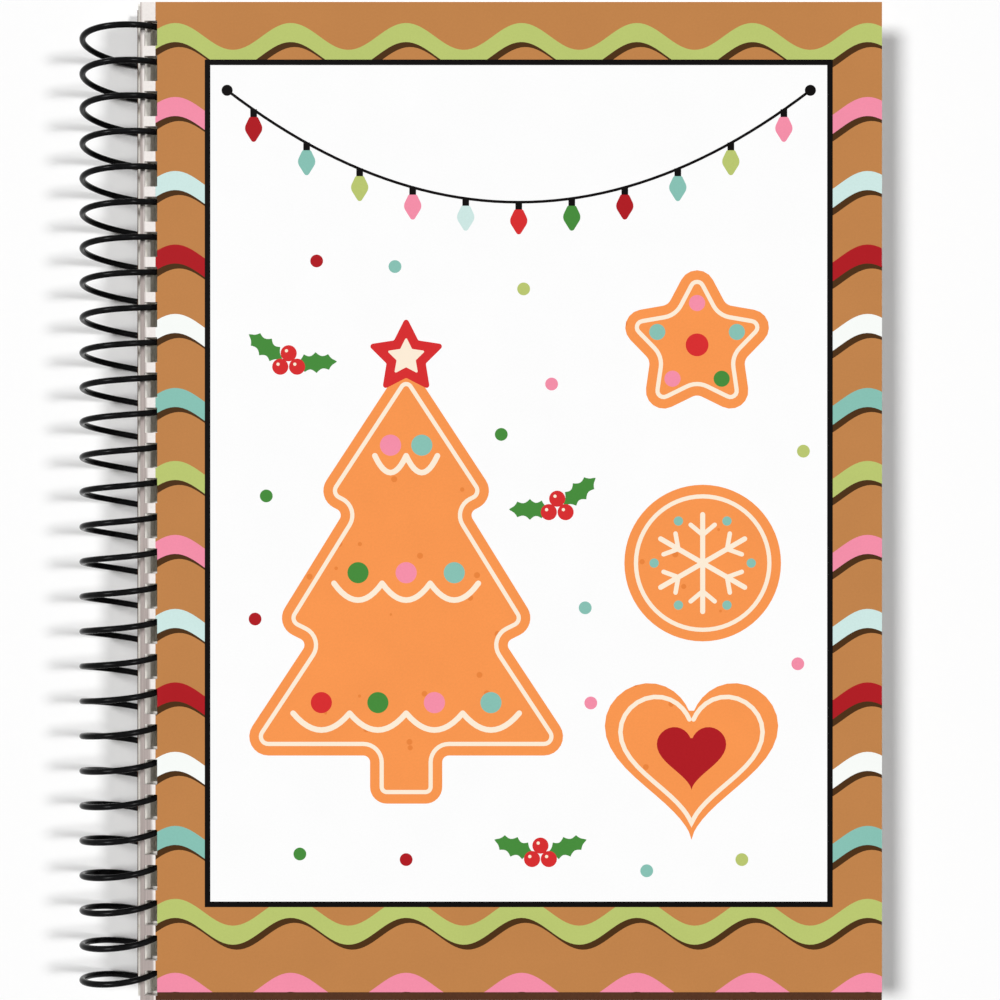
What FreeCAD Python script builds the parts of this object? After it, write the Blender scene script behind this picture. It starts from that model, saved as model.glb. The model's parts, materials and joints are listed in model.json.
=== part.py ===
import FreeCAD, Part
import math
import os
import Sketcher

# A spiral bound book of card pockets, lying closed on a table with its front cover up.
# X runs from the spine to the fore edge, Y from the tail of the book to its head, Z up.
# The origin is on the table, under the middle of the book with its coil.
# Every leaf has a row of slots and lies where the wire passes through it.

SIZES = {
    # covers: a board with a printed sheet on its outer side, which leaves the board bare along the tail
    "cover_width": 132.6,
    "cover_height": 178.5,
    "board_thickness": 0.7,
    "print_thickness": 0.1,
    "bare_tail": 1.5,
    "front_bare_strip": 2.75,
    "back_bare_strip": 6.0,
    # pages
    "page_count": 6,
    "page_width": 129.4,
    "page_thickness": 0.25,
    "leaf_gap": 0.12,
    # the slots along the spine of every leaf: the front cover's are mostly in its bare strip
    "slot_length": 4.5,
    "slot_width": 2.9,
    "slot_to_edge": 3.7,
    "slot_to_tail": 3.1,
    "front_slot_width": 2.3,
    "front_slot_to_edge": 1.9,
    # the wire: its turns lean, so that they climb most under the back cover
    "wire_diameter": 1.1,
    "coil_diameter": 15.8,
    "turn_pitch": 6.29,
    "turn_lean": 0.35,
    "lean_angle": -80.0,
    "wire_to_slot": 1.35,
    "crimp_radius": 1.2,
    "crimp_length": 1.5,
    "tail_crimp_angle": -70.0,
    "head_crimp_angle": -58.0,
    "back_to_table": 2.1,
    # the pocket on each page, made for a standard plastic card
    "card_width": 85.6,
    "card_height": 54.0,
    "card_room": 2.0,
    "card_showing": 4.0,
    "tape_width": 5.0,
    "tape_thickness": 0.85,
    "tape_space": 1.0,
    "panel_thickness": 0.25,
    "notch_radius": 9.0,
    "pocket_to_slots": 12.0,
    "pocket_to_tail": 42.0,
}

STEPS_ALONG_SPINE = "floor((sizes.cover_height - 2 * sizes.slot_to_tail) / sizes.turn_pitch)"
FULL_TURN = 360.0
POINTS_PER_TURN = 24

doc = FreeCAD.newDocument("card_book")
sheet = doc.addObject("Spreadsheet::Sheet", "sizes")
for row, (name, value) in enumerate(SIZES.items(), start=1):
    sheet.set(f"A{row}", name)
    sheet.set(f"B{row}", str(value))
    sheet.setAlias(f"B{row}", name)
doc.recompute()


def size(name):
    """The named size, as the sheet holds it."""
    return sheet.get(name)


def total(*terms):
    """Value and formula of a sum of named sizes. A leading minus takes a size away."""
    value = 0
    formula = "0"
    for term in terms:
        name = term.lstrip("-")
        sign = "-" if term.startswith("-") else "+"
        value += size(name) if sign == "+" else -size(name)
        formula += f" {sign} sizes.{name}"
    return value, formula


# Sketches


def add_lines(sketch, corners):
    """A closed run of straight lines. Returns the number of its first line."""
    first = sketch.GeometryCount
    for here, there in zip(corners, corners[1:] + corners[:1]):
        sketch.addGeometry(Part.LineSegment(FreeCAD.Vector(*here), FreeCAD.Vector(*there)))
    count = len(corners)
    for step in range(count):
        follower = first + (step + 1) % count
        sketch.addConstraint(Sketcher.Constraint("Coincident", first + step, 2, follower, 1))
    return first


def bind(sketch, kind, places, length):
    """A driving distance between two points, or a radius, held by a formula."""
    value, formula = length
    number = sketch.addConstraint(Sketcher.Constraint(kind, *places, value))
    sketch.setExpression(f"Constraints[{number}]", formula)


def add_rectangle(sketch, width, height, left=None):
    """A rectangle whose low left corner is at the origin, or at left from it along X."""
    x = left[0] if left else 0
    far_x = x + width[0]
    top_y = height[0]
    base = add_lines(sketch, [(x, 0), (far_x, 0), (far_x, top_y), (x, top_y)])
    right, top, side = base + 1, base + 2, base + 3
    for line in (base, top):
        sketch.addConstraint(Sketcher.Constraint("Horizontal", line))
    for line in (right, side):
        sketch.addConstraint(Sketcher.Constraint("Vertical", line))
    bind(sketch, "DistanceX", (base, 1, base, 2), width)
    bind(sketch, "DistanceY", (right, 1, right, 2), height)
    if left:
        bind(sketch, "DistanceX", (-1, 1, base, 1), left)
    else:
        sketch.addConstraint(Sketcher.Constraint("PointOnObject", base, 1, -2))
    sketch.addConstraint(Sketcher.Constraint("PointOnObject", base, 1, -1))


def add_slot(sketch, width, middle_x, middle_y):
    """A slot round a middle point."""
    half_width = width[0] / 2
    half_length = size("slot_length") / 2
    x, y = middle_x[0], middle_y[0]
    low_left = (x - half_width, y - half_length)
    low_right = (x + half_width, y - half_length)
    top_right = (x + half_width, y + half_length)
    top_left = (x - half_width, y + half_length)
    base = add_lines(sketch, [low_left, low_right, top_right, top_left])
    right, top, side = base + 1, base + 2, base + 3
    for line in (base, top):
        sketch.addConstraint(Sketcher.Constraint("Horizontal", line))
    for line in (right, side):
        sketch.addConstraint(Sketcher.Constraint("Vertical", line))
    point = sketch.addGeometry(Part.Point(FreeCAD.Vector(x, y)), True)
    sketch.addConstraint(Sketcher.Constraint("Symmetric", base, 1, top, 1, point, 1))
    bind(sketch, "DistanceX", (base, 1, base, 2), width)
    bind(sketch, "DistanceY", (right, 1, right, 2), total("slot_length"))
    bind(sketch, "DistanceX", (-1, 1, point, 1), middle_x)
    bind(sketch, "DistanceY", (-1, 1, point, 1), middle_y)


def add_notched_panel(sketch, width, height, radius):
    """A rectangle at the origin with a half round notch in the middle of its top edge."""
    middle = width[0] / 2
    top = height[0]
    begin = FreeCAD.Vector(middle + radius[0], top)
    lowest = FreeCAD.Vector(middle, top - radius[0])
    end = FreeCAD.Vector(middle - radius[0], top)
    corners = [(end.x, top), (0, top), (0, 0), (width[0], 0), (width[0], top), (begin.x, top)]
    numbers = []
    for here, there in zip(corners, corners[1:]):
        line = Part.LineSegment(FreeCAD.Vector(*here), FreeCAD.Vector(*there))
        numbers.append(sketch.addGeometry(line))
    for line, follower in zip(numbers, numbers[1:]):
        sketch.addConstraint(Sketcher.Constraint("Coincident", line, 2, follower, 1))
    top_left, left, base, right, top_right = numbers
    notch = sketch.addGeometry(Part.Arc(begin, lowest, end))
    first, last = (1, 2) if sketch.getPoint(notch, 1).x > middle else (2, 1)
    sketch.addConstraint(Sketcher.Constraint("Coincident", notch, first, top_right, 2))
    sketch.addConstraint(Sketcher.Constraint("Coincident", notch, last, top_left, 1))
    for line in (top_left, base, top_right):
        sketch.addConstraint(Sketcher.Constraint("Horizontal", line))
    for line in (left, right):
        sketch.addConstraint(Sketcher.Constraint("Vertical", line))
    sketch.addConstraint(Sketcher.Constraint("Coincident", base, 1, -1, 1))
    sketch.addConstraint(Sketcher.Constraint("Equal", top_left, top_right))
    sketch.addConstraint(Sketcher.Constraint("PointOnObject", notch, 3, top_right))
    bind(sketch, "DistanceX", (base, 1, base, 2), width)
    bind(sketch, "DistanceY", (right, 1, right, 2), height)
    bind(sketch, "Radius", (notch,), radius)


# Bodies

sub_parts = []


def new_body(label):
    body = doc.addObject("PartDesign::Body", label)
    body.Label = label
    sub_parts.append(body)
    return body


def new_sketch(body, name):
    sketch = body.newObject("Sketcher::SketchObject", name)
    plane = next(item for item in body.Origin.OriginFeatures if item.Role == "XY_Plane")
    sketch.AttachmentSupport = [(plane, "")]
    sketch.MapMode = "FlatFace"
    return sketch


def pad(body, sketch, thickness):
    feature = body.newObject("PartDesign::Pad", body.Label + "_pad")
    feature.Profile = sketch
    feature.setExpression("Length", total(thickness)[1])
    doc.recompute()


def punch(body, slot, thickness):
    """The row of slots along the spine, cut through the whole thickness. slot is the lowest one."""
    sketch = new_sketch(body, body.Label + "_slot")
    add_slot(sketch, *slot)
    before = body.Shape.Volume
    slot = body.newObject("PartDesign::Pocket", body.Label + "_punch")
    slot.Profile = sketch
    slot.Reversed = True
    slot.setExpression("Length", total(thickness)[1])
    doc.recompute()
    if slot.Shape.Volume >= before:
        raise ValueError(body.Label + ": the slot cuts nothing")
    row = body.newObject("PartDesign::LinearPattern", body.Label + "_slot_row")
    row.Originals = [slot]
    row.Direction = (sketch, ["V_Axis"])
    row.setExpression("Length", f"sizes.turn_pitch * {STEPS_ALONG_SPINE}")
    row.setExpression("Occurrences", f"{STEPS_ALONG_SPINE} + 1")
    body.Tip = row
    doc.recompute()


def plain_leaf(label, width, height, thickness):
    body = new_body(label)
    outline = new_sketch(body, label + "_outline")
    add_rectangle(outline, width, height)
    pad(body, outline, thickness)
    return body


def punched_leaf(label, width, height, thickness, slot):
    body = plain_leaf(label, width, height, thickness)
    punch(body, slot, thickness)
    return body


def pocket_panel(label):
    body = new_body(label)
    outline = new_sketch(body, label + "_outline")
    width = total("card_width", "card_room", "tape_width", "tape_width")
    height = total("tape_width", "card_height", "-card_showing")
    add_notched_panel(outline, width, height, total("notch_radius"))
    pad(body, outline, "panel_thickness")
    return body


def pocket_tape(label):
    """Three strips of tape that hold the panel off the page, at both sides and below."""
    body = new_body(label)
    outline = new_sketch(body, label + "_outline")
    side = total("tape_width")
    height = total("tape_width", "card_height", "-card_showing")
    far_side = total("tape_width", "card_width", "card_room")
    foot_start = total("tape_width", "tape_space")
    foot = total("card_width", "card_room", "-tape_space", "-tape_space")
    add_rectangle(outline, side, height)
    add_rectangle(outline, side, height, left=far_side)
    add_rectangle(outline, foot, side, left=foot_start)
    pad(body, outline, "tape_thickness")
    return body


# Places: the stack of leaves inside the coil, and as many turns as the spine has room for

slot_room = size("cover_height") - 2 * size("slot_to_tail")
turn_count = math.floor(slot_room / size("turn_pitch")) + 1
turn_radius = (size("coil_diameter") - size("wire_diameter")) / 2
axis_height = size("coil_diameter") / 2
page_step = sum(size(name) for name in ("page_thickness", "tape_thickness", "panel_thickness", "leaf_gap"))
back_board_z = size("back_to_table") + size("print_thickness")
lowest_page_z = back_board_z + size("board_thickness") + size("leaf_gap")
front_board_z = lowest_page_z + size("page_count") * page_step


def wire_angle(height):
    """Where the wire passes a level on its way down through the leaves, in degrees."""
    return math.degrees(math.asin((height - axis_height) / turn_radius))


def wire_reach(height):
    """How far the wire is from the coil's axis at that level, along X."""
    return turn_radius * math.cos(math.radians(wire_angle(height)))


def wire_climb(angle):
    """How far the wire has climbed towards the head, against the angle it has turned."""
    lean = math.sin(math.radians(angle - size("lean_angle")))
    return -size("turn_pitch") * angle / FULL_TURN - size("turn_lean") * lean


def slot_reach(low, high):
    """How far a leaf's slots are from the coil's axis: the middle of the room that the wire needs."""
    edges = []
    for level in (low, high):
        half_cut = size("wire_diameter") / 2 / math.cos(math.radians(wire_angle(level)))
        edges += [wire_reach(level) - half_cut, wire_reach(level) + half_cut]
    return (min(edges) + max(edges)) / 2


def slot_climb(low, high):
    """How far the wire has climbed in the middle of a leaf."""
    return wire_climb(wire_angle((low + high) / 2))


cover_thickness = size("board_thickness") + size("print_thickness")
front_faces = (front_board_z, front_board_z + cover_thickness)
back_faces = (back_board_z, back_board_z + size("board_thickness"))
fore_edge_reach = slot_reach(*front_faces) - size("front_slot_to_edge") + size("cover_width")
axis_x = (size("coil_diameter") / 2 - fore_edge_reach) / 2
stack_climb = (slot_climb(*front_faces) + slot_climb(*back_faces)) / 2
tail_slot_y = size("slot_to_tail") - size("cover_height") / 2
first_climb = tail_slot_y + size("wire_to_slot") - stack_climb


def leaf_corner(low, high, slot_to_edge):
    """The spine and tail corner of a leaf between two levels that the wire passes through."""
    x = axis_x + slot_reach(low, high) - slot_to_edge
    y = first_climb + slot_climb(low, high) - size("wire_to_slot") - size("slot_to_tail")
    return FreeCAD.Vector(x, y, low)


def place(body, corner):
    body.Placement = FreeCAD.Placement(corner, FreeCAD.Rotation())


# The front cover: its sheet reaches in between the slots

cover_height = total("cover_height")
print_height = total("cover_height", "-bare_tail")
front_corner = leaf_corner(*front_faces, size("front_slot_to_edge"))
front_slot = (total("front_slot_width"), total("front_slot_to_edge"), total("slot_to_tail"))
front_board = punched_leaf("front_board", total("cover_width"), cover_height, "board_thickness", front_slot)
place(front_board, front_corner)
sheet_slot_x = total("front_slot_to_edge", "-front_bare_strip")
sheet_slot_y = total("slot_to_tail", "-bare_tail")
sheet_slot = (total("front_slot_width"), sheet_slot_x, sheet_slot_y)
sheet_width = total("cover_width", "-front_bare_strip")
front_print = punched_leaf("front_print", sheet_width, print_height, "print_thickness", sheet_slot)
sheet_place = FreeCAD.Vector(size("front_bare_strip"), size("bare_tail"), size("board_thickness"))
place(front_print, front_corner + sheet_place)

# The back cover: as far from the slots to the fore edge as the front one, its sheet beside the slots

leaf_slot = (total("slot_width"), total("slot_to_edge"), total("slot_to_tail"))
back_corner = leaf_corner(*back_faces, size("slot_to_edge"))
back_terms = ("cover_width", "-front_slot_to_edge", "slot_to_edge")
back_board = punched_leaf("back_board", total(*back_terms), cover_height, "board_thickness", leaf_slot)
place(back_board, back_corner)
back_print = plain_leaf("back_print", total(*back_terms, "-back_bare_strip"), print_height, "print_thickness")
sheet_place = FreeCAD.Vector(size("back_bare_strip"), size("bare_tail"), -size("print_thickness"))
place(back_print, back_corner + sheet_place)

# Pages, numbered from the front cover

page_count = int(size("page_count"))
for number in range(page_count, 0, -1):
    low = lowest_page_z + (page_count - number) * page_step
    page = punched_leaf(f"page_{number}", total("page_width"), cover_height, "page_thickness", leaf_slot)
    corner = leaf_corner(low, low + size("page_thickness"), size("slot_to_edge"))
    place(page, corner)
    pocket_x = size("slot_to_edge") + size("pocket_to_slots")
    pocket = corner + FreeCAD.Vector(pocket_x, size("pocket_to_tail"), size("page_thickness"))
    place(pocket_tape(f"pocket_tape_{number}"), pocket)
    lift = FreeCAD.Vector(0, 0, size("tape_thickness"))
    place(pocket_panel(f"pocket_panel_{number}"), pocket + lift)

# The coil: one wire from its crimped end at the tail to its crimped end at the head


def coil_point(angle):
    turned = math.radians(angle)
    x = axis_x + turn_radius * math.cos(turned)
    z = axis_height + turn_radius * math.sin(turned)
    return FreeCAD.Vector(x, first_climb + wire_climb(angle), z)


def coil_way(angle):
    """The direction of the wire towards the head, where the angle falls."""
    turned = math.radians(angle)
    lean = math.cos(math.radians(angle - size("lean_angle")))
    climb = size("turn_pitch") / math.tau + size("turn_lean") * lean
    way = FreeCAD.Vector(turn_radius * math.sin(turned), climb, -turn_radius * math.cos(turned))
    return way.normalize()


def arc_middle(start, way, end):
    """The middle of the arc that leaves start along way and passes through end."""
    chord = end - start
    along = FreeCAD.Vector(chord).normalize()
    side = (way - along * way.dot(along)).normalize()
    bulge = chord.Length / 2 * math.tan(way.getAngle(chord) / 2)
    return start + chord / 2 + side * bulge


def tangent_arc(start, way, end):
    return Part.Arc(start, arc_middle(start, way, end), end).toShape()


def biarc(start, start_way, end, end_way):
    """Two arcs from start to end that keep the directions at both and meet smoothly."""
    span = end - start
    square = 2 * (1 - start_way.dot(end_way))
    linear = 2 * span.dot(start_way + end_way)
    reach = (math.sqrt(linear**2 + 4 * square * span.dot(span)) - linear) / (2 * square)
    start_arm = start + start_way * reach
    end_arm = end - end_way * reach
    meeting = (start_arm + end_arm) / 2
    meeting_way = (end_arm - start_arm).normalize()
    return [tangent_arc(start, start_way, meeting), tangent_arc(meeting, meeting_way, end)]


def crimp_points(point, way, inward):
    """A bend of a right angle towards the middle of the book, and the straight tip after it."""
    side = (inward - way * inward.dot(way)).normalize()
    bend_end = point + (way + side) * size("crimp_radius")
    tip = bend_end + side * size("crimp_length")
    return point, arc_middle(point, way, bend_end), bend_end, tip


def coil_edges():
    """The wire's line: both its ends lie flat under the back cover, bent towards each other."""
    half_turn = FULL_TURN / 2
    first = size("tail_crimp_angle") + FULL_TURN
    last = size("head_crimp_angle") - FULL_TURN * (turn_count - 1)
    angles = [first - half_turn * step for step in range(2 * turn_count)] + [last]
    points = [coil_point(angle) for angle in angles]
    ways = [coil_way(angle) for angle in angles]
    head = FreeCAD.Vector(0, 1, 0)
    start, bend, bend_end, tip = crimp_points(points[0], -ways[0], head)
    edges = [Part.LineSegment(tip, bend_end).toShape(), Part.Arc(bend_end, bend, start).toShape()]
    for step in range(2 * turn_count):
        edges += biarc(points[step], ways[step], points[step + 1], ways[step + 1])
    start, bend, bend_end, tip = crimp_points(points[-1], ways[-1], -head)
    edges += [Part.Arc(start, bend, bend_end).toShape(), Part.LineSegment(bend_end, tip).toShape()]
    return edges


def least_gap(path):
    """The least gap between stretches of the wire that are half a turn or more apart."""
    half_turn = math.pi * turn_radius
    count = turn_count * POINTS_PER_TURN
    points = path.discretize(count)
    spacing = path.Length / (count - 1)
    skip = math.ceil(half_turn / spacing)
    reach = skip + 2 * POINTS_PER_TURN
    gaps = []
    for number, point in enumerate(points):
        for other in points[number + skip : number + reach]:
            gaps.append(point.distanceToPoint(other))
    return min(gaps) - size("wire_diameter")


path = Part.Wire(coil_edges())
tip, bend_end = (vertex.Point for vertex in path.OrderedVertexes[:2])
section = Part.Wire([Part.Circle(tip, bend_end - tip, size("wire_diameter") / 2).toShape()])
coil = doc.addObject("Part::Feature", "binding_coil")
coil.Label = "binding_coil"
coil.Shape = path.makePipeShell([section], True, False)
coil.Placement = FreeCAD.Placement()
sub_parts.append(coil)
wire_volume = math.pi * (size("wire_diameter") / 2) ** 2 * path.Length
print(f"coil: volume {coil.Shape.Volume:.2f} of {wire_volume:.2f}, least gap {least_gap(path):.2f} mm")

doc.recompute()
for item in doc.Objects:
    if "Invalid" in item.State or "Error" in item.State:
        raise ValueError(f"{item.Label} failed: {item.State}")
for part in sub_parts:
    if part.Shape.isNull() or not part.Shape.isValid():
        raise ValueError(f"{part.Label} has no valid shape")

os.makedirs("parts", exist_ok=True)
for part in sub_parts:
    part.Shape.exportStep(f"parts/{part.Label}.step")
print(f"{len(sub_parts)} nodes, {turn_count} turns, coil axis at x {axis_x:.3f} z {axis_height:.3f}")
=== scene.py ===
import json
import math

import bmesh
import bpy
from mathutils import Matrix, Vector
from mathutils.geometry import delaunay_2d_cdt


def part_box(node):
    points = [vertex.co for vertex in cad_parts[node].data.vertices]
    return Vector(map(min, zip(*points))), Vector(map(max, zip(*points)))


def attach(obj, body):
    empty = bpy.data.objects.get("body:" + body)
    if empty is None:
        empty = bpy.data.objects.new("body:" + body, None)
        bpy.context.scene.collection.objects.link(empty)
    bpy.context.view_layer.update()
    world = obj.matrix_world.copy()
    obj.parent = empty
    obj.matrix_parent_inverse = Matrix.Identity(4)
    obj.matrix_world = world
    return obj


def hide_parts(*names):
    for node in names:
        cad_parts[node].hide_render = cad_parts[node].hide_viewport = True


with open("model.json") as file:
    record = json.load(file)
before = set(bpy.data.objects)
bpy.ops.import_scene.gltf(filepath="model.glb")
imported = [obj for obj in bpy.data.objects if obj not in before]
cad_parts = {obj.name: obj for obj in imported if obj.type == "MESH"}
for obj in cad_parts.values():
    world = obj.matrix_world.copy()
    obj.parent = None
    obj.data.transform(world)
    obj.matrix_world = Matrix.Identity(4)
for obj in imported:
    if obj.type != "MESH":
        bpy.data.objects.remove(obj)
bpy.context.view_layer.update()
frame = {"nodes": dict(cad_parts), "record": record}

# A spiral bound book of card pockets. X runs from the spine to the fore edge, Y to the head, Z up.
# The boards, pages, pockets and tapes are the frame's own nodes with finished materials.
# The printed sheets and the wire are built here, over the nodes that they stand for.

MM = 0.001

# The wire, by the same rule as its node
WIRE_DIAMETER = 1.1 * MM
TURN_PITCH = 6.29 * MM
TURN_LEAN = 0.35 * MM
LEAN_ANGLE = math.radians(-80)
WIRE_TO_SLOT = 1.35 * MM
SLOT_TO_TAIL = 3.1 * MM
SLOT_LENGTH = 4.5 * MM
FRONT_SLOT_TO_EDGE = 1.9 * MM
FRONT_SLOT_WIDTH = 2.3 * MM
CRIMP_RADIUS = 1.2 * MM
CRIMP_LENGTH = 1.5 * MM
TAIL_CRIMP_ANGLE = math.radians(-70)
HEAD_CRIMP_ANGLE = math.radians(-58)
STEPS_PER_TURN = 72
WIRE_SIDES = 16

# The printed pattern, in millimetres on the sheet: across from its spine edge, down from its head
STRIPES = {"green": 0.0, "pink": 13.22, "pale_aqua": 26.45, "red": 39.58, "white": 52.0, "teal": 65.23}
STRIPE_REPEAT = 78.27
STRIPE_THICKNESS = 3.4
FIRST_CREST = 3.77
WAVE_LENGTH = 20.63
WAVE_HEIGHT = 4.8
WAVE_CREST = 3.53
SHADOW_ACROSS = 0.7
SHADOW_DOWN = 0.9
FRAME_LINE = 1.0
FRAME_SIDE = 8.8
FRAME_HEAD = 10.3
FRAME_TAIL = 15.2
WAVE_POINTS = 28

# The panel's motifs, in millimetres across and down from the corner of its frame
LIGHTS_MARGIN = 4.0
LIGHTS = {"level": 5.5, "sag": 20.0, "bulbs": 11}
TREE = {"middle": 36.0, "top": 47.0, "bottom": 133.0}
STAR_BISCUIT = {"middle": (88.0, 51.0), "size": 17.0}
SNOWFLAKE_BISCUIT = {"middle": (89.0, 90.0), "radius": 14.0}
HEART_BISCUIT = {"middle": (87.0, 123.0), "width": 31.0}
SPRIGS = [(15.0, 54.0, 0.3), (63.0, 80.0, -0.35), (60.0, 142.0, 0.0)]
DOTS = [
    (20, 36), (34, 37), (57, 41), (62, 58), (11, 78), (9, 100), (68, 98), (107, 70), (106, 108),
    (17, 142), (36, 143), (79, 145), (96, 143), (69, 115), (53, 67),
]
DOT_INKS = ["red", "teal", "green", "pink", "leaf"]
DOT_RADIUS = 1.15
BULB_INKS = ["red", "teal", "green", "pink", "pale_aqua", "berry", "leaf"]
ICING_MARGIN = 1.7
ICING_WIDTH = 0.75

# Each tier of the fir tree in shares of its height: its hem, half its width, and half the width above it
FIR_TIERS = [(0.93, 0.36, 0.205), (0.66, 0.275, 0.13), (0.395, 0.19, 0.0)]
FIR_SWEETS = ["berry", "leaf", "pink", "teal", "berry", "leaf"]

# The photograph's frame
PHOTO_WIDTH = 1000
PHOTO_PRINT_LEFT = 155.5
PHOTO_PRINT_RIGHT = 882
PHOTO_PRINT_TOP = 1.9
CAMERA_HEIGHT = 280 * MM
SENSOR_WIDTH = 36.0


# Materials


def rgb(red, green, blue):
    """A colour written as on a screen, 0 to 255, as the shader wants it."""

    def linear(value):
        share = value / 255
        return share / 12.92 if share <= 0.04045 else ((share + 0.055) / 1.055) ** 2.4

    return linear(red), linear(green), linear(blue), 1.0


def shaded(colour, factor):
    return tuple(min(1.0, channel * factor) for channel in colour[:3]) + (1.0,)


class Finish:
    """A material and the nodes that the finishes below are made of."""

    def __init__(self, name):
        self.material = bpy.data.materials.new(name)
        self.material.use_nodes = True
        self.tree = self.material.node_tree
        self.shader = self.tree.nodes["Principled BSDF"]
        self.coordinates = self.node("ShaderNodeTexCoord")
        self.place = self.coordinates.outputs["Object"]

    def node(self, kind, **settings):
        made = self.tree.nodes.new(kind)
        for key, value in settings.items():
            setattr(made, key, value)
        return made

    def link(self, source, target):
        self.tree.links.new(source, target)

    def set(self, **values):
        for name, value in values.items():
            self.shader.inputs[name.replace("_", " ")].default_value = value

    def stretched(self, across, along):
        mapping = self.node("ShaderNodeMapping")
        mapping.inputs["Scale"].default_value = (across, along, 1.0)
        self.link(self.place, mapping.inputs["Vector"])
        return mapping.outputs["Vector"]

    def noise(self, feature, detail=3.0, place=None):
        """Noise with features of about that many millimetres."""
        texture = self.node("ShaderNodeTexNoise")
        texture.inputs["Scale"].default_value = 1 / (feature * MM)
        texture.inputs["Detail"].default_value = detail
        self.link(place or self.place, texture.inputs["Vector"])
        return texture.outputs["Fac"]

    def ramp(self, factor, *stops):
        """Colours by a factor. Each stop is a place from 0 to 1 and a colour."""
        made = self.node("ShaderNodeValToRGB")
        elements = made.color_ramp.elements
        while len(elements) < len(stops):
            elements.new(0.5)
        for element, (place, colour) in zip(elements, stops):
            element.position = place
            element.color = colour
        self.link(factor, made.inputs["Fac"])
        return made.outputs["Color"]

    def remap(self, value, low, high, new_low, new_high):
        made = self.node("ShaderNodeMapRange")
        limits = {"From Min": low, "From Max": high, "To Min": new_low, "To Max": new_high}
        for name, number in limits.items():
            made.inputs[name].default_value = number
        self.link(value, made.inputs["Value"])
        return made.outputs["Result"]

    def math(self, operation, first, second):
        made = self.node("ShaderNodeMath", operation=operation)
        for socket, value in zip(made.inputs, (first, second)):
            if isinstance(value, (int, float)):
                socket.default_value = value
            else:
                self.link(value, socket)
        return made.outputs["Value"]

    def blend(self, first, second, share):
        """Two factors in one, with that share of the first."""
        return self.math("ADD", self.math("MULTIPLY", first, share), self.math("MULTIPLY", second, 1 - share))

    def mix(self, factor, first, second):
        made = self.node("ShaderNodeMix", data_type="RGBA")
        factor_socket, first_socket, second_socket = made.inputs[0], made.inputs[6], made.inputs[7]
        for socket, value in ((factor_socket, factor), (first_socket, first), (second_socket, second)):
            if isinstance(value, (int, float, tuple)):
                socket.default_value = value
            else:
                self.link(value, socket)
        return made.outputs[2]

    def colour(self, source):
        self.link(source, self.shader.inputs["Base Color"])

    def roughness(self, factor, low, high):
        self.link(self.remap(factor, 0.3, 0.7, low, high), self.shader.inputs["Roughness"])

    def bump(self, height, depth, strength):
        """Relief of that many millimetres."""
        made = self.node("ShaderNodeBump")
        made.inputs["Distance"].default_value = depth * MM
        made.inputs["Strength"].default_value = strength
        self.link(height, made.inputs["Height"])
        self.link(made.outputs["Normal"], self.shader.inputs["Normal"])

    def parts(self, vector):
        made = self.node("ShaderNodeSeparateXYZ")
        self.link(vector, made.inputs["Vector"])
        return made.outputs

    def edge_share(self):
        """1 on the cut edges of a flat sheet and 0 on its faces."""
        upright = self.parts(self.coordinates.outputs["Normal"])["Z"]
        return self.math("LESS_THAN", self.math("ABSOLUTE", upright, 0), 0.5)

    def cut_edge(self, core, dark):
        """The thin layers that a cut edge shows."""
        layers = self.noise(0.12, 2.0, self.stretched(0.05, 0.05))
        return self.ramp(layers, (0.35, shaded(core, dark)), (0.65, shaded(core, 1.08)))


def ink(name, colour, mottling=0.04, speckle=None):
    """Printed paper under a thin satin film: soft mottling, fine fibres and a faint orange peel."""
    finish = Finish(name)
    fibres = finish.noise(0.35, 5.0)
    mottle = finish.noise(9.0, 2.0)
    grain = finish.blend(fibres, mottle, 0.6)
    tone = finish.ramp(grain, (0.3, shaded(colour, 1 - mottling)), (0.7, shaded(colour, 1 + mottling)))
    if speckle:
        spots = finish.node("ShaderNodeTexVoronoi")
        spots.inputs["Scale"].default_value = 1 / (5.5 * MM)
        finish.link(finish.place, spots.inputs["Vector"])
        near = finish.math("LESS_THAN", spots.outputs["Distance"], 0.1)
        tone = finish.mix(near, tone, speckle)
    finish.colour(tone)
    finish.roughness(fibres, 0.42, 0.54)
    finish.set(Specular_IOR_Level=0.04)
    finish.bump(finish.noise(0.6, 4.0), 0.012, 0.35)
    return finish.material


def card(name, colour, core, fleck=None):
    """Card: fibres on its faces, and a core that shows along its cut edges."""
    finish = Finish(name)
    fibres = finish.noise(0.5, 6.0)
    clouds = finish.noise(14.0, 2.0)
    grain = finish.blend(fibres, clouds, 0.65)
    face = finish.ramp(grain, (0.3, shaded(colour, 0.93)), (0.7, shaded(colour, 1.04)))
    if fleck:
        hairs = finish.noise(0.5, 2.0, finish.stretched(1.0, 0.3))
        face = finish.mix(finish.remap(hairs, 0.6, 0.74, 0.0, 0.5), face, fleck)
    finish.colour(finish.mix(finish.edge_share(), face, finish.cut_edge(core, 0.82)))
    finish.roughness(fibres, 0.68, 0.85)
    finish.set(Specular_IOR_Level=0.3)
    finish.bump(finish.noise(0.35, 5.0), 0.03, 0.4)
    return finish.material


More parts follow.
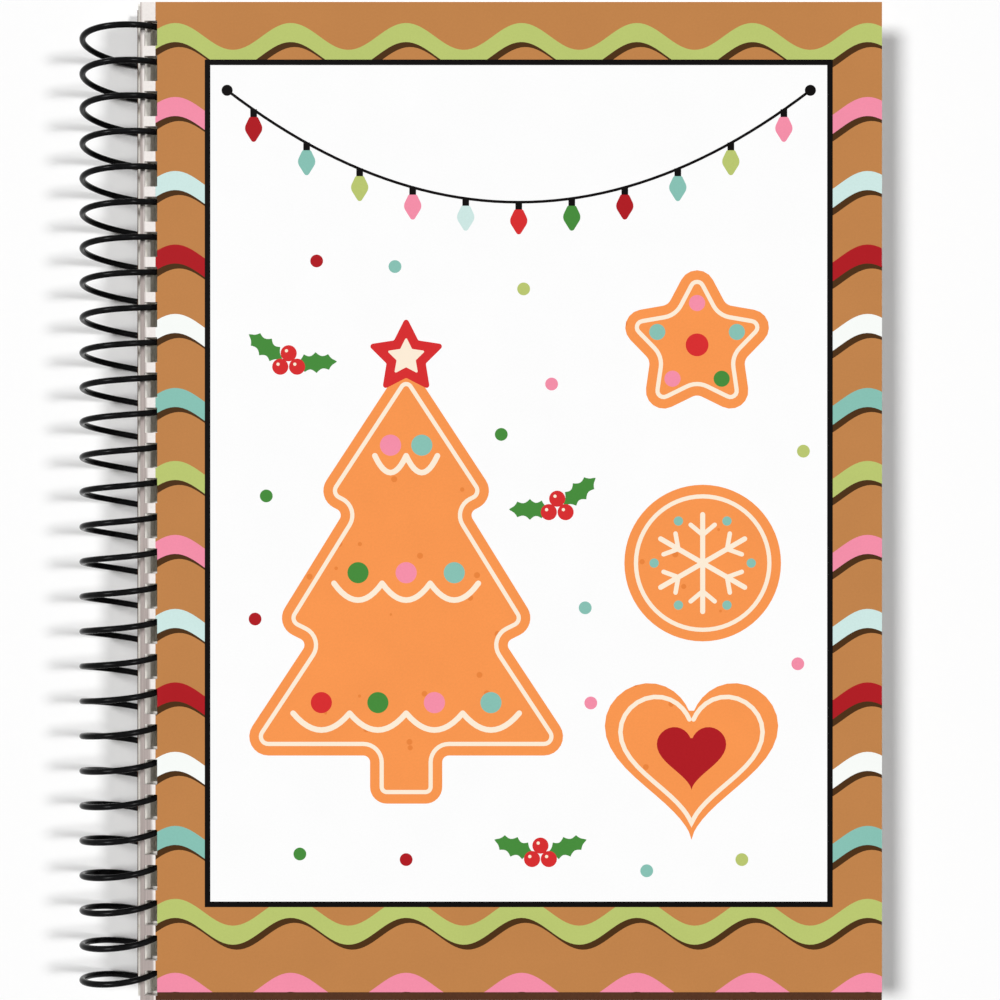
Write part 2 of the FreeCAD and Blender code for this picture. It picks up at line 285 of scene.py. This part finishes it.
def cover_board(name, colour, core, strip_colour, painted_shade_colour):
    """A dark board with a pale strip beside the coil, with painted shade in a band along the strip's spine
    side that widens to the tail.
    """
    low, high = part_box("front_board")
    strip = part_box("front_print")[0].x - low.x
    finish = Finish(name)
    fibres = finish.noise(0.4, 6.0)
    grain = finish.blend(fibres, finish.noise(14.0, 2.0), 0.65)
    face = finish.ramp(grain, (0.3, shaded(colour, 0.8)), (0.7, shaded(colour, 1.2)))
    bright = finish.ramp(fibres, (0.3, shaded(strip_colour, 0.95)), (0.7, shaded(strip_colour, 1.03)))
    # Painted shade: the strip turns greyer and streaked along its spine side, in a band that widens towards
    # the tail.
    streaks = finish.noise(0.25, 3.0, finish.stretched(1.0, 0.012))
    painted_shade_tone = finish.ramp(streaks, (0.3, shaded(painted_shade_colour, 0.82)), (0.7, shaded(painted_shade_colour, 1.12)))
    place = finish.parts(finish.place)
    inward = finish.math("SUBTRACT", place["X"], low.x)
    reach = finish.remap(place["Y"], low.y, high.y, strip * 0.9, strip * 0.08)
    beyond = finish.math("SUBTRACT", inward, reach)
    painted_shade_share = finish.remap(beyond, -0.25 * MM, 0.2 * MM, 1.0, 0.0)
    beside = finish.math("LESS_THAN", inward, strip)
    upper = finish.math("GREATER_THAN", place["Z"], (low.z + high.z) / 2)
    pale = finish.mix(painted_shade_share, bright, painted_shade_tone)
    face = finish.mix(finish.math("MULTIPLY", beside, upper), face, pale)
    # Painted light: the cut edges near the spine, slot walls included, take the pale strip colour instead of
    # the brown core to lighten the shade inside the slots.
    lightened_slot_walls = finish.math("LESS_THAN", inward, FRONT_SLOT_TO_EDGE + FRONT_SLOT_WIDTH)
    edge = finish.mix(lightened_slot_walls, finish.cut_edge(core, 0.8), bright)
    finish.colour(finish.mix(finish.edge_share(), face, edge))
    finish.roughness(fibres, 0.55, 0.7)
    finish.set(Specular_IOR_Level=0.08)
    finish.bump(finish.noise(0.5, 5.0), 0.02, 0.3)
    return finish.material


def foam(name, colour):
    """Foam tape: small open cells, with painted shade in each cell's hollow."""
    finish = Finish(name)
    cells = finish.node("ShaderNodeTexVoronoi")
    cells.inputs["Scale"].default_value = 1 / (0.28 * MM)
    finish.link(finish.place, cells.inputs["Vector"])
    # Painted shade: each cell darkens towards its middle, where the bump sinks it.
    tone = finish.ramp(cells.outputs["Distance"], (0.15, shaded(colour, 0.72)), (0.6, colour))
    finish.colour(tone)
    finish.roughness(finish.noise(0.8), 0.8, 0.95)
    finish.bump(cells.outputs["Distance"], 0.06, 0.6)
    return finish.material


def coated_wire(name, colour):
    """Wire in a glossy coat, with faint scuffs where it rubs."""
    finish = Finish(name)
    scuffs = finish.noise(1.4, 5.0)
    finish.colour(finish.ramp(scuffs, (0.45, colour), (0.8, shaded(colour, 3.0))))
    finish.roughness(scuffs, 0.15, 0.25)
    finish.set(Specular_IOR_Level=0.06)
    finish.bump(finish.noise(0.5, 3.0), 0.01, 0.25)
    return finish.material


# Flat outlines, in millimetres on the sheet


def circle(middle, radius, points=32):
    x, y = middle
    angles = [math.tau * step / points for step in range(points)]
    return [(x + radius * math.cos(angle), y + radius * math.sin(angle)) for angle in angles]


def rounded(corners, radius, points=7):
    """A closed outline with its corners rounded off. Radius is one number or one for each corner."""
    count = len(corners)
    radii = radius if isinstance(radius, (list, tuple)) else [radius] * count
    ring = []
    for number, size in enumerate(radii):
        corner = Vector(corners[number])
        before = (Vector(corners[number - 1]) - corner).normalized()
        after = (Vector(corners[(number + 1) % count]) - corner).normalized()
        half = before.angle(after) / 2
        reach = size / math.tan(half)
        centre = corner + (before + after).normalized() * size / math.sin(half)
        start = corner + before * reach - centre
        end = corner + after * reach - centre
        for step in range(points):
            share = step / (points - 1)
            ring.append(tuple(centre + start.slerp(end, share) * size))
    return ring


def star(middle, outer, inner, tips, turn=-math.pi / 2):
    x, y = middle
    ring = []
    for step in range(2 * tips):
        angle = turn + math.pi * step / tips
        radius = inner if step % 2 else outer
        ring.append((x + radius * math.cos(angle), y + radius * math.sin(angle)))
    return ring


def side_ways(points, closed):
    """The direction to the left of a line at each of its points."""
    count = len(points)
    ways = []
    for number in range(count):
        before = points[number - 1] if closed or number > 0 else points[0]
        after = points[(number + 1) % count] if closed or number < count - 1 else points[-1]
        way = (Vector(after) - Vector(before)).normalized()
        ways.append(Vector((-way.y, way.x)))
    return ways


def stroke(points, width, cap_points=6):
    """The outline of a line of that width with round ends."""
    ways = side_ways(points, closed=False)
    left = [Vector(point) + way * width / 2 for point, way in zip(points, ways)]
    right = [Vector(point) - way * width / 2 for point, way in zip(points, ways)]

    def cap(middle, way):
        ring = []
        for step in range(1, cap_points):
            angle = -math.pi * step / cap_points
            turned = Matrix.Rotation(angle, 2) @ way
            ring.append(Vector(middle) + turned * width / 2)
        return ring

    ring = left + cap(points[-1], ways[-1]) + right[::-1] + cap(points[0], -ways[0])
    return [tuple(point) for point in ring]


def shifted(ring, across, down):
    return [(x + across, y + down) for x, y in ring]


def signed_area(ring):
    return sum(a[0] * b[1] - b[0] * a[1] for a, b in zip(ring, ring[1:] + ring[:1])) / 2


def inset(ring, depth):
    """A closed ring moved inwards."""
    ways = side_ways(ring, closed=True)
    side = 1 if signed_area(ring) > 0 else -1
    return [tuple(Vector(point) + way * side * depth) for point, way in zip(ring, ways)]


def rectangle(left, top, right, bottom):
    return [(left, top), (right, top), (right, bottom), (left, bottom)]


# The printed sheets


def wave(across):
    """How far below its crest a stripe runs at a place across the sheet."""
    turned = math.tau * (across - WAVE_CREST) / WAVE_LENGTH
    return WAVE_HEIGHT * (1 - math.cos(turned)) / 2


def wavy_band(left, right, crest, thickness):
    count = max(2, math.ceil((right - left) / WAVE_LENGTH * WAVE_POINTS))
    places = [left + (right - left) * step / count for step in range(count + 1)]
    top = [(place, crest + wave(place)) for place in places]
    low = [(place, crest + wave(place) + thickness) for place in reversed(places)]
    return top + low


def stripes(width, height, panel=None):
    """Wavy stripes with their dropped shadows, each cut short where the panel would hide it."""
    layers = []
    rows = []
    for repeat in range(-1, math.ceil(height / STRIPE_REPEAT)):
        for colour, offset in STRIPES.items():
            rows.append((FIRST_CREST + repeat * STRIPE_REPEAT + offset, colour))
    for crest, colour in rows:
        if not -STRIPE_REPEAT / 4 < crest < height:
            continue
        runs = [(-1.0, width + 1.0)]
        if panel:
            left, top, right, bottom = panel
            lowest = crest + WAVE_HEIGHT + STRIPE_THICKNESS + SHADOW_DOWN
            if crest > top and lowest < bottom:
                runs = [(-1.0, left + FRAME_LINE / 2), (right - FRAME_LINE / 2, width + 1.0)]
        for start, end in runs:
            band = wavy_band(start - SHADOW_ACROSS, end, crest, STRIPE_THICKNESS)
            layers.append((shifted(band, SHADOW_ACROSS, SHADOW_DOWN), "dark_brown"))
            layers.append((wavy_band(start, end, crest, STRIPE_THICKNESS), colour))
    return layers


def hanging_line(start, span, sag, steps):
    """Points along a line that hangs between two places of one level."""
    x, y = start
    shares = [step / steps for step in range(steps + 1)]
    return [(x + span * share, y + sag * 4 * share * (1 - share)) for share in shares]


def iced(ring):
    """A biscuit with a line of icing inside its edge."""
    icing = inset(ring, ICING_MARGIN)
    inside = inset(ring, ICING_MARGIN + ICING_WIDTH)
    return [(ring, "biscuit"), (icing, "icing"), (inside, "biscuit")]


def fir_outline(middle, top, height):
    trunk_half = 0.075 * height
    side = [(trunk_half, top + height), (trunk_half, top + 0.9 * height)]
    radii = [3.0, 1.2]
    for hem, half, upper_half in FIR_TIERS:
        side.append((half * height, top + (hem - 0.03) * height))
        radii.append(3.4)
        if upper_half:
            side.append((upper_half * height, top + (hem - 0.265) * height))
            radii.append(1.2)
    outline = [(middle + x, y) for x, y in side]
    outline.append((middle, top + 0.075 * height))
    outline += [(middle - x, y) for x, y in reversed(side)]
    return rounded(outline, radii + [3.0] + radii[::-1], points=9)


def fir_icing(middle, top, height):
    """A row of swags on each tier, with a sweet over each swag."""
    layers = []
    for number, (hem, half, _) in enumerate(FIR_TIERS):
        level = top + (hem - 0.118) * height
        reach = (half - 0.125) * height
        swags = 4 - number
        span = 2 * reach / swags
        for place in range(swags):
            start = middle - reach + span * place
            line = hanging_line((start, level), span, 0.035 * height, 12)
            layers.append((stroke(line, 1.0), "icing"))
            sweet = (start + span / 2, level - 0.022 * height)
            layers.append((circle(sweet, 0.022 * height), FIR_SWEETS[place + number]))
    return layers


def fir_tree(middle, top, bottom):
    """A biscuit in the shape of a fir tree, with icing, sweets and a star."""
    height = bottom - top
    layers = iced(fir_outline(middle, top, height)) + fir_icing(middle, top, height)
    tip = (middle, top + 0.072 * height)
    outer = rounded(star(tip, 0.085 * height, 0.043 * height, 5), [0.5, 0.4] * 5, points=5)
    inner = rounded(star(tip, 0.042 * height, 0.021 * height, 5), 0.2, points=4)
    return layers + [(outer, "berry"), (inner, "icing")]


def star_biscuit(middle, size):
    layers = iced(rounded(star(middle, size, 0.52 * size, 5), [3.2, 2.0] * 5))
    layers.append((circle(middle, 0.12 * size), "berry"))
    sweets = ["pink", "teal", "leaf", "pink", "teal"]
    for sweet, place in zip(sweets, star(middle, 0.44 * size, 0.0, 5)[::2]):
        layers.append((circle(place, 0.085 * size, 24), sweet))
    return layers


def snowflake_biscuit(middle, radius):
    layers = iced(circle(middle, radius, 64))
    for arm in range(6):
        way = Matrix.Rotation(math.tau * arm / 6, 2) @ Vector((0, -1))
        layers.append((stroke([Vector(middle), Vector(middle) + way * 0.62 * radius], 0.9), "icing"))
        fork = Vector(middle) + way * 0.36 * radius
        for side in (-1, 1):
            branch = Matrix.Rotation(side * math.radians(50), 2) @ way
            layers.append((stroke([fork, fork + branch * 0.2 * radius], 0.8), "icing"))
        between = Vector(middle) + Matrix.Rotation(math.tau / 12, 2) @ way * 0.62 * radius
        layers.append((circle(between, 0.06 * radius, 20), "teal"))
    return layers


def heart(middle, width):
    """Points round a heart, with none crowded at its tip and its notch."""
    x, y = middle
    ring = []
    for degrees in range(18, 343, 6):
        if 0 < abs(degrees - 180) < 18:
            continue
        angle = math.radians(degrees)
        across = 16 * math.sin(angle) ** 3
        up = 13 * math.cos(angle) - 5 * math.cos(2 * angle) - 2 * math.cos(3 * angle) - math.cos(4 * angle)
        ring.append((x + across * width / 32, y - up * width / 32))
    return ring


def heart_biscuit(middle, width):
    x, y = middle
    layers = [(heart(middle, width), "biscuit")]
    layers.append((stroke(heart((x, y + 0.012 * width), 0.82 * width), 0.8), "icing"))
    layers.append((heart((x, y + 0.03 * width), 0.4 * width), "red"))
    return layers


def light_string(left, right, level, sag, bulbs):
    """A string of small coloured bulbs that hangs from both ends."""
    layers = []
    for number in range(bulbs):
        along = (number + 0.5) / bulbs
        x = left + (right - left) * along
        y = level + sag * 4 * along * (1 - along)
        layers.append((rectangle(x - 0.6, y - 0.1, x + 0.6, y + 1.5), "black"))
        outline = [(-0.75, 1.3), (0.75, 1.3), (1.75, 3.4), (0.0, 6.2), (-1.75, 3.4)]
        bulb = rounded(shifted(outline, x, y), [0.3, 0.3, 1.5, 0.5, 1.5])
        layers.append((bulb, BULB_INKS[number % len(BULB_INKS)]))
    layers.append((stroke(hanging_line((left, level), right - left, sag, 48), 0.5), "black"))
    for end in (left, right):
        layers.append((circle((end, level), 1.0, 20), "black"))
    return layers


def holly_leaf(root, length, turn):
    """A holly leaf: two edges of three hollows each between its points."""
    half = 0.25 * length
    spine = [(0.0, 0.0), (0.22, 0.85), (0.5, 1.0), (0.8, 0.75), (1.0, 0.0)]
    edge = []
    for (start, start_half), (end, end_half) in zip(spine, spine[1:]):
        for step in range(6):
            share = step / 6
            hollow = 1 - 0.32 * math.sin(math.pi * share)
            along = start + (end - start) * share
            edge.append((along * length, (start_half + (end_half - start_half) * share) * half * hollow))
    edge.append((length, 0.0))
    other = [(x, -y) for x, y in reversed(edge[1:-1])]
    spin = Matrix.Rotation(turn, 2)
    return [tuple(Vector(root) + spin @ Vector(point)) for point in edge + other]


def sprig(middle, turn):
    """Two leaves of holly with three berries."""
    x, y = middle
    layers = []
    for side in (-1, 1):
        way = turn if side > 0 else turn + math.pi
        root = (x + 1.2 * math.cos(way), y + 1.2 * math.sin(way))
        layers.append((holly_leaf(root, 7.5, way - side * 0.35), "leaf"))
    for across, down in ((-1.5, 0.9), (1.5, 0.9), (0.0, -1.5)):
        layers.append((circle((x + across, y + down), 1.45, 24), "berry"))
        layers.append((circle((x + across - 0.4, y + down - 0.45), 0.3, 10), "icing"))
    return layers


def panel_layers(width):
    """The motifs on a panel of that width."""
    layers = light_string(LIGHTS_MARGIN, width - LIGHTS_MARGIN, **LIGHTS)
    layers += fir_tree(**TREE)
    layers += star_biscuit(**STAR_BISCUIT)
    layers += snowflake_biscuit(**SNOWFLAKE_BISCUIT)
    layers += heart_biscuit(**HEART_BISCUIT)
    for across, down, turn in SPRIGS:
        layers += sprig((across, down), turn)
    for number, place in enumerate(DOTS):
        layers.append((circle(place, DOT_RADIUS, 24), DOT_INKS[number % len(DOT_INKS)]))
    return layers


def front_layers(width, height):
    """Stripes round a framed panel of iced biscuits."""
    left, top = FRAME_SIDE, FRAME_HEAD
    right, bottom = width - FRAME_SIDE, height - FRAME_TAIL
    layers = stripes(width, height, panel=(left, top, right, bottom))
    layers.append((rectangle(left, top, right, bottom), "black"))
    line = FRAME_LINE
    layers.append((rectangle(left + line, top + line, right - line, bottom - line), "panel"))
    layers += [(shifted(ring, left, top), colour) for ring, colour in panel_layers(right - left)]
    return layers


def sheet_size(node):
    low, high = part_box(node)
    return (high.x - low.x) / MM, (high.y - low.y) / MM


def slot_count():
    low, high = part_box("front_board")
    return math.floor((high.y - low.y - 2 * SLOT_TO_TAIL) / TURN_PITCH) + 1


def front_slots():
    """The front cover's slots as its sheet has them: top, bottom and depth in millimetres."""
    board_low, board_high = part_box("front_board")
    sheet_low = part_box("front_print")[0]
    depth = board_low.x + FRONT_SLOT_TO_EDGE + FRONT_SLOT_WIDTH / 2 - sheet_low.x
    slots = []
    for number in range(slot_count()):
        middle = board_low.y + SLOT_TO_TAIL + TURN_PITCH * number
        top = board_high.y - middle - SLOT_LENGTH / 2
        slots.append((top / MM, (top + SLOT_LENGTH) / MM, depth / MM))
    return slots


def comb_outline(width, height, slots):
    """The sheet's outline with a notch at its spine edge for each slot. Slots are (top, bottom, depth)."""
    ring = [(0.0, 0.0), (width, 0.0), (width, height)]
    if all(bottom < height for top, bottom, depth in slots):
        ring.append((0.0, height))
    for top, bottom, depth in sorted(slots, reverse=True):
        if bottom < height:
            ring += [(0.0, bottom), (depth, bottom)]
        else:
            ring.append((depth, height))
        ring += [(depth, top), (0.0, top)]
    return ring


def divided(rings):
    """The faces that rings cut the first one into, each with the numbers of the rings around it."""
    points, loops = [], []
    for ring in rings:
        if signed_area(ring) < 0:
            ring = ring[::-1]
        loops.append(list(range(len(points), len(points) + len(ring))))
        points += [Vector(point) for point in ring]
    places, _, faces, _, _, owners = delaunay_2d_cdt(points, [], loops, 1, 1e-4, True)
    return places, [(face, owner) for face, owner in zip(faces, owners) if 0 in owner]


def close_sheet(shape, back_z, material_index):
    """Adds the cut edge and the back to a sheet that has only its printed face."""
    back = {}
    follower = {}
    for edge in [edge for edge in shape.edges if edge.is_boundary]:
        loop = edge.link_loops[0]
        start, end = loop.vert, loop.link_loop_next.vert
        follower[start] = end
        for corner in (start, end):
            if corner not in back:
                back[corner] = shape.verts.new((corner.co.x, corner.co.y, back_z))
    for start, end in follower.items():
        wall = shape.faces.new((end, start, back[start], back[end]))
        wall.material_index = material_index
    around = [next(iter(follower))]
    while follower[around[-1]] is not around[0]:
        around.append(follower[around[-1]])
    made = shape.faces.new([back[corner] for corner in reversed(around)])
    made.material_index = material_index


def finished(name, shape, materials):
    """The object that a shape in work becomes."""
    mesh = bpy.data.meshes.new(name)
    shape.to_mesh(mesh)
    shape.free()
    for material in materials:
        mesh.materials.append(material)
    piece = bpy.data.objects.new(name, mesh)
    bpy.context.collection.objects.link(piece)
    return piece


def printed_sheet(name, node, layers, inks, slots=(), face_up=True):
    """One closed sheet whose printed face is divided along the edges of its inks."""
    low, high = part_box(node)
    outline = comb_outline(*sheet_size(node), slots)
    colours = ["brown"] + [colour for ring, colour in layers]
    places, faces = divided([outline] + [ring for ring, colour in layers])
    names = sorted(set(colours)) + ["paper_edge"]
    printed_z, back_z = (high.z, low.z) if face_up else (low.z, high.z)
    shape = bmesh.new()
    corners = {}
    for face, owner in faces:
        for number in face:
            if number not in corners:
                across, down = places[number] * MM
                corners[number] = shape.verts.new((low.x + across, high.y - down, printed_z))
        made = shape.faces.new([corners[number] for number in face])
        made.material_index = names.index(colours[max(owner)])
    bmesh.ops.recalc_face_normals(shape, faces=shape.faces[:])
    facing = sum(face.normal.z * face.calc_area() for face in shape.faces)
    if (facing > 0) != face_up:
        bmesh.ops.reverse_faces(shape, faces=shape.faces[:])
    close_sheet(shape, back_z, names.index("paper_edge"))
    return finished(name, shape, [inks[colour] for colour in names])


# The wire


def spine_axis():
    """Where across the book the leaves turn."""
    return frame["record"]["behaviour"]["joints"][0]["pos_m"][0]


def crimp(end, before, inward):
    """A hook at the wire's end: a quarter bend and a short straight run."""
    way = (end - before).normalized()
    side = (inward - way * inward.dot(way)).normalized()
    centre = end + side * CRIMP_RADIUS
    bend = []
    for step in range(1, 9):
        angle = math.pi / 2 * step / 8
        bend.append(centre - side * CRIMP_RADIUS * math.cos(angle) + way * CRIMP_RADIUS * math.sin(angle))
    return bend + [bend[-1] + side * CRIMP_LENGTH]


def climb(angle):
    """How far along the spine the wire is at an angle of its turns."""
    return -TURN_PITCH * angle / math.tau - TURN_LEAN * math.sin(angle - LEAN_ANGLE)


def wire_path():
    """The wire from its crimped end at the tail to its crimped end at the head."""
    low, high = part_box("binding_coil")
    board_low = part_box("front_board")[0]
    print_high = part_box("front_print")[1]
    radius = (high.z - low.z - WIRE_DIAMETER) / 2
    axis_z = (low.z + high.z) / 2
    axis_x = spine_axis()
    cover_angle = math.asin(((board_low.z + print_high.z) / 2 - axis_z) / radius)
    first_climb = board_low.y + SLOT_TO_TAIL + WIRE_TO_SLOT - climb(cover_angle)

    def point(angle):
        x = axis_x + radius * math.cos(angle)
        z = axis_z + radius * math.sin(angle)
        return Vector((x, first_climb + climb(angle), z))

    turns = slot_count()
    first = TAIL_CRIMP_ANGLE + math.tau
    last = HEAD_CRIMP_ANGLE - math.tau * (turns - 1)
    steps = turns * STEPS_PER_TURN
    body = [point(first + (last - first) * step / steps) for step in range(steps + 1)]
    head_way = Vector((0, 1, 0))
    tail_end = crimp(body[0], body[1], head_way)
    head_end = crimp(body[-1], body[-2], -head_way)
    return tail_end[::-1] + body + head_end


def wire_tube(name, path, radius, material):
    """A closed tube along a path, with a small bevel at its cut ends."""
    shape = bmesh.new()
    ways = []
    for number in range(len(path)):
        before = path[max(0, number - 1)]
        after = path[min(len(path) - 1, number + 1)]
        ways.append((after - before).normalized())
    side = ways[0].orthogonal().normalized()
    bevel = 0.2 * radius
    stations = [(path[0], ways[0], radius - bevel)]
    stations.append((path[0] + ways[0] * bevel, ways[0], radius))
    stations += [(place, way, radius) for place, way in zip(path[1:-1], ways[1:-1])]
    stations.append((path[-1] - ways[-1] * bevel, ways[-1], radius))
    stations.append((path[-1], ways[-1], radius - bevel))
    rings = []
    for place, way, size in stations:
        side = (side - way * side.dot(way)).normalized()
        other = way.cross(side)
        ring = []
        for step in range(WIRE_SIDES):
            angle = math.tau * step / WIRE_SIDES
            ring.append(shape.verts.new(place + (side * math.cos(angle) + other * math.sin(angle)) * size))
        rings.append(ring)
    for ring, following in zip(rings, rings[1:]):
        for step in range(WIRE_SIDES):
            after = (step + 1) % WIRE_SIDES
            face = shape.faces.new((ring[step], ring[after], following[after], following[step]))
            face.smooth = True
    shape.faces.new(rings[0][::-1])
    shape.faces.new(rings[-1])
    return finished(name, shape, [material])


# The stage


def lamp(name, azimuth, elevation, share, spread):
    """A far, soft lamp, its width in radians, that gives that share of the light on a level surface."""
    turn, rise = math.radians(azimuth), math.radians(elevation)
    data = bpy.data.lights.new(name, "SUN")
    data.angle = spread
    data.energy = share * math.pi / math.sin(rise)
    made = bpy.data.objects.new(name, data)
    way = Vector((math.cos(turn) * math.cos(rise), math.sin(turn) * math.cos(rise), math.sin(rise)))
    made.rotation_euler = way.to_track_quat("Z", "Y").to_euler()
    bpy.context.collection.objects.link(made)


def floor(size):
    """A pale floor that touches the coil and the fore edge of the back cover."""
    back_low, back_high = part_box("back_print")
    axis_x = spine_axis()
    slope = back_low.z / (back_high.x - axis_x)
    mesh = bpy.data.meshes.new("floor")
    corners = []
    for x, y in ((-size, -size), (size, -size), (size, size), (-size, size)):
        corners.append((x, y, (x - axis_x) * slope))
    mesh.from_pydata(corners, [], [(0, 1, 2, 3)])
    finish = Finish("floor_white")
    finish.set(Base_Color=(0.975, 0.975, 0.975, 1.0), Specular_IOR_Level=0.0)
    finish.roughness(finish.noise(4.0), 0.88, 0.92)
    mesh.materials.append(finish.material)
    made = bpy.data.objects.new("floor", mesh)
    bpy.context.collection.objects.link(made)


def surroundings(strength):
    """Even light from all round. The camera and glossy surfaces see plain white there."""
    world = bpy.data.worlds.new("studio")
    bpy.context.scene.world = world
    world.use_nodes = True
    tree = world.node_tree
    background = tree.nodes["Background"]
    background.inputs["Color"].default_value = (1, 1, 1, 1)
    path = tree.nodes.new("ShaderNodeLightPath")
    seen = path.outputs["Is Camera Ray"]
    for ray in ("Is Glossy Ray", "Is Transmission Ray"):
        both = tree.nodes.new("ShaderNodeMath")
        both.operation = "MAXIMUM"
        tree.links.new(seen, both.inputs[0])
        tree.links.new(path.outputs[ray], both.inputs[1])
        seen = both.outputs["Value"]
    level = tree.nodes.new("ShaderNodeMapRange")
    level.inputs["To Min"].default_value = strength
    level.inputs["To Max"].default_value = 1.0
    tree.links.new(seen, level.inputs["Value"])
    tree.links.new(level.outputs["Result"], background.inputs["Strength"])


def camera():
    """Straight above the book, where the photograph was taken from."""
    low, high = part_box("front_print")
    per_pixel = (high.x - low.x) / (PHOTO_PRINT_RIGHT - PHOTO_PRINT_LEFT)
    data = bpy.data.cameras.new("camera")
    data.sensor_width = SENSOR_WIDTH
    data.lens = SENSOR_WIDTH * CAMERA_HEIGHT / (per_pixel * PHOTO_WIDTH)
    data.clip_start = 0.01
    made = bpy.data.objects.new("camera", data)
    x = low.x + (PHOTO_WIDTH / 2 - PHOTO_PRINT_LEFT) * per_pixel
    y = high.y - (PHOTO_WIDTH / 2 - PHOTO_PRINT_TOP) * per_pixel
    made.location = (x, y, high.z + CAMERA_HEIGHT)
    bpy.context.collection.objects.link(made)
    bpy.context.scene.camera = made


# The object

INKS = {
    "brown": rgb(191, 130, 75),
    "dark_brown": rgb(74, 47, 22),
    "green": rgb(185, 198, 112),
    "pink": rgb(243, 142, 168),
    "pale_aqua": rgb(205, 231, 227),
    "red": rgb(173, 28, 35),
    "white": rgb(247, 250, 247),
    "teal": rgb(135, 192, 179),
    "black": rgb(6, 4, 4),
    "panel": rgb(252, 252, 252),
    "icing": rgb(252, 236, 214),
    "berry": rgb(214, 46, 48),
    "leaf": rgb(70, 138, 60),
    "paper_edge": rgb(236, 232, 226),
}
PALE_INKS = ("panel", "white", "icing")
inks = {name: ink(name, colour, 0.012 if name in PALE_INKS else 0.04) for name, colour in INKS.items()}
inks["biscuit"] = ink("biscuit", rgb(247, 150, 80), speckle=rgb(232, 132, 62))

front_design = front_layers(*sheet_size("front_print"))
back_design = stripes(*sheet_size("back_print"))
front_sheet = printed_sheet("front_sheet", "front_print", front_design, inks, front_slots())
back_sheet = printed_sheet("back_sheet", "back_print", back_design, inks, face_up=False)
wire = wire_tube("spiral_wire", wire_path(), WIRE_DIAMETER / 2, coated_wire("coated_wire", rgb(8, 8, 9)))
for piece, node, body, slot in (
    (front_sheet, "front_print", "front", "printed_paper"),
    (back_sheet, "back_print", "back", "printed_paper"),
    (wire, "binding_coil", "back", "coated_wire"),
):
    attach(piece, body)
    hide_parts(node)

BOARD = rgb(80, 48, 30)
BOARD_CORE = rgb(104, 72, 50)
LEAF_FINISHES = {
    # The front board's last colour is the painted shade on its pale strip.
    "front_board": cover_board("front_board", BOARD, BOARD_CORE, rgb(240, 234, 230), rgb(178, 166, 162)),
    "back_board": card("back_board", BOARD, BOARD_CORE),
    "page": card("page_card", rgb(243, 240, 232), rgb(226, 220, 208), fleck=rgb(224, 214, 194)),
    "pocket_panel": card("pocket_card", rgb(196, 150, 102), rgb(176, 132, 88), fleck=rgb(128, 84, 48)),
    "pocket_tape": foam("foam_tape", rgb(238, 236, 230)),
}
for node, piece in frame["nodes"].items():
    finish = LEAF_FINISHES.get(node.rstrip("0123456789_"))
    if finish:
        piece.data.materials.clear()
        piece.data.materials.append(finish)

floor(size=6.0)
surroundings(strength=0.03)
lamp("key", azimuth=7, elevation=51.5, share=0.37, spread=0.16)
lamp("fill", azimuth=160, elevation=57.5, share=0.605, spread=0.3)
camera()
bpy.context.scene.view_settings.view_transform = "Standard"
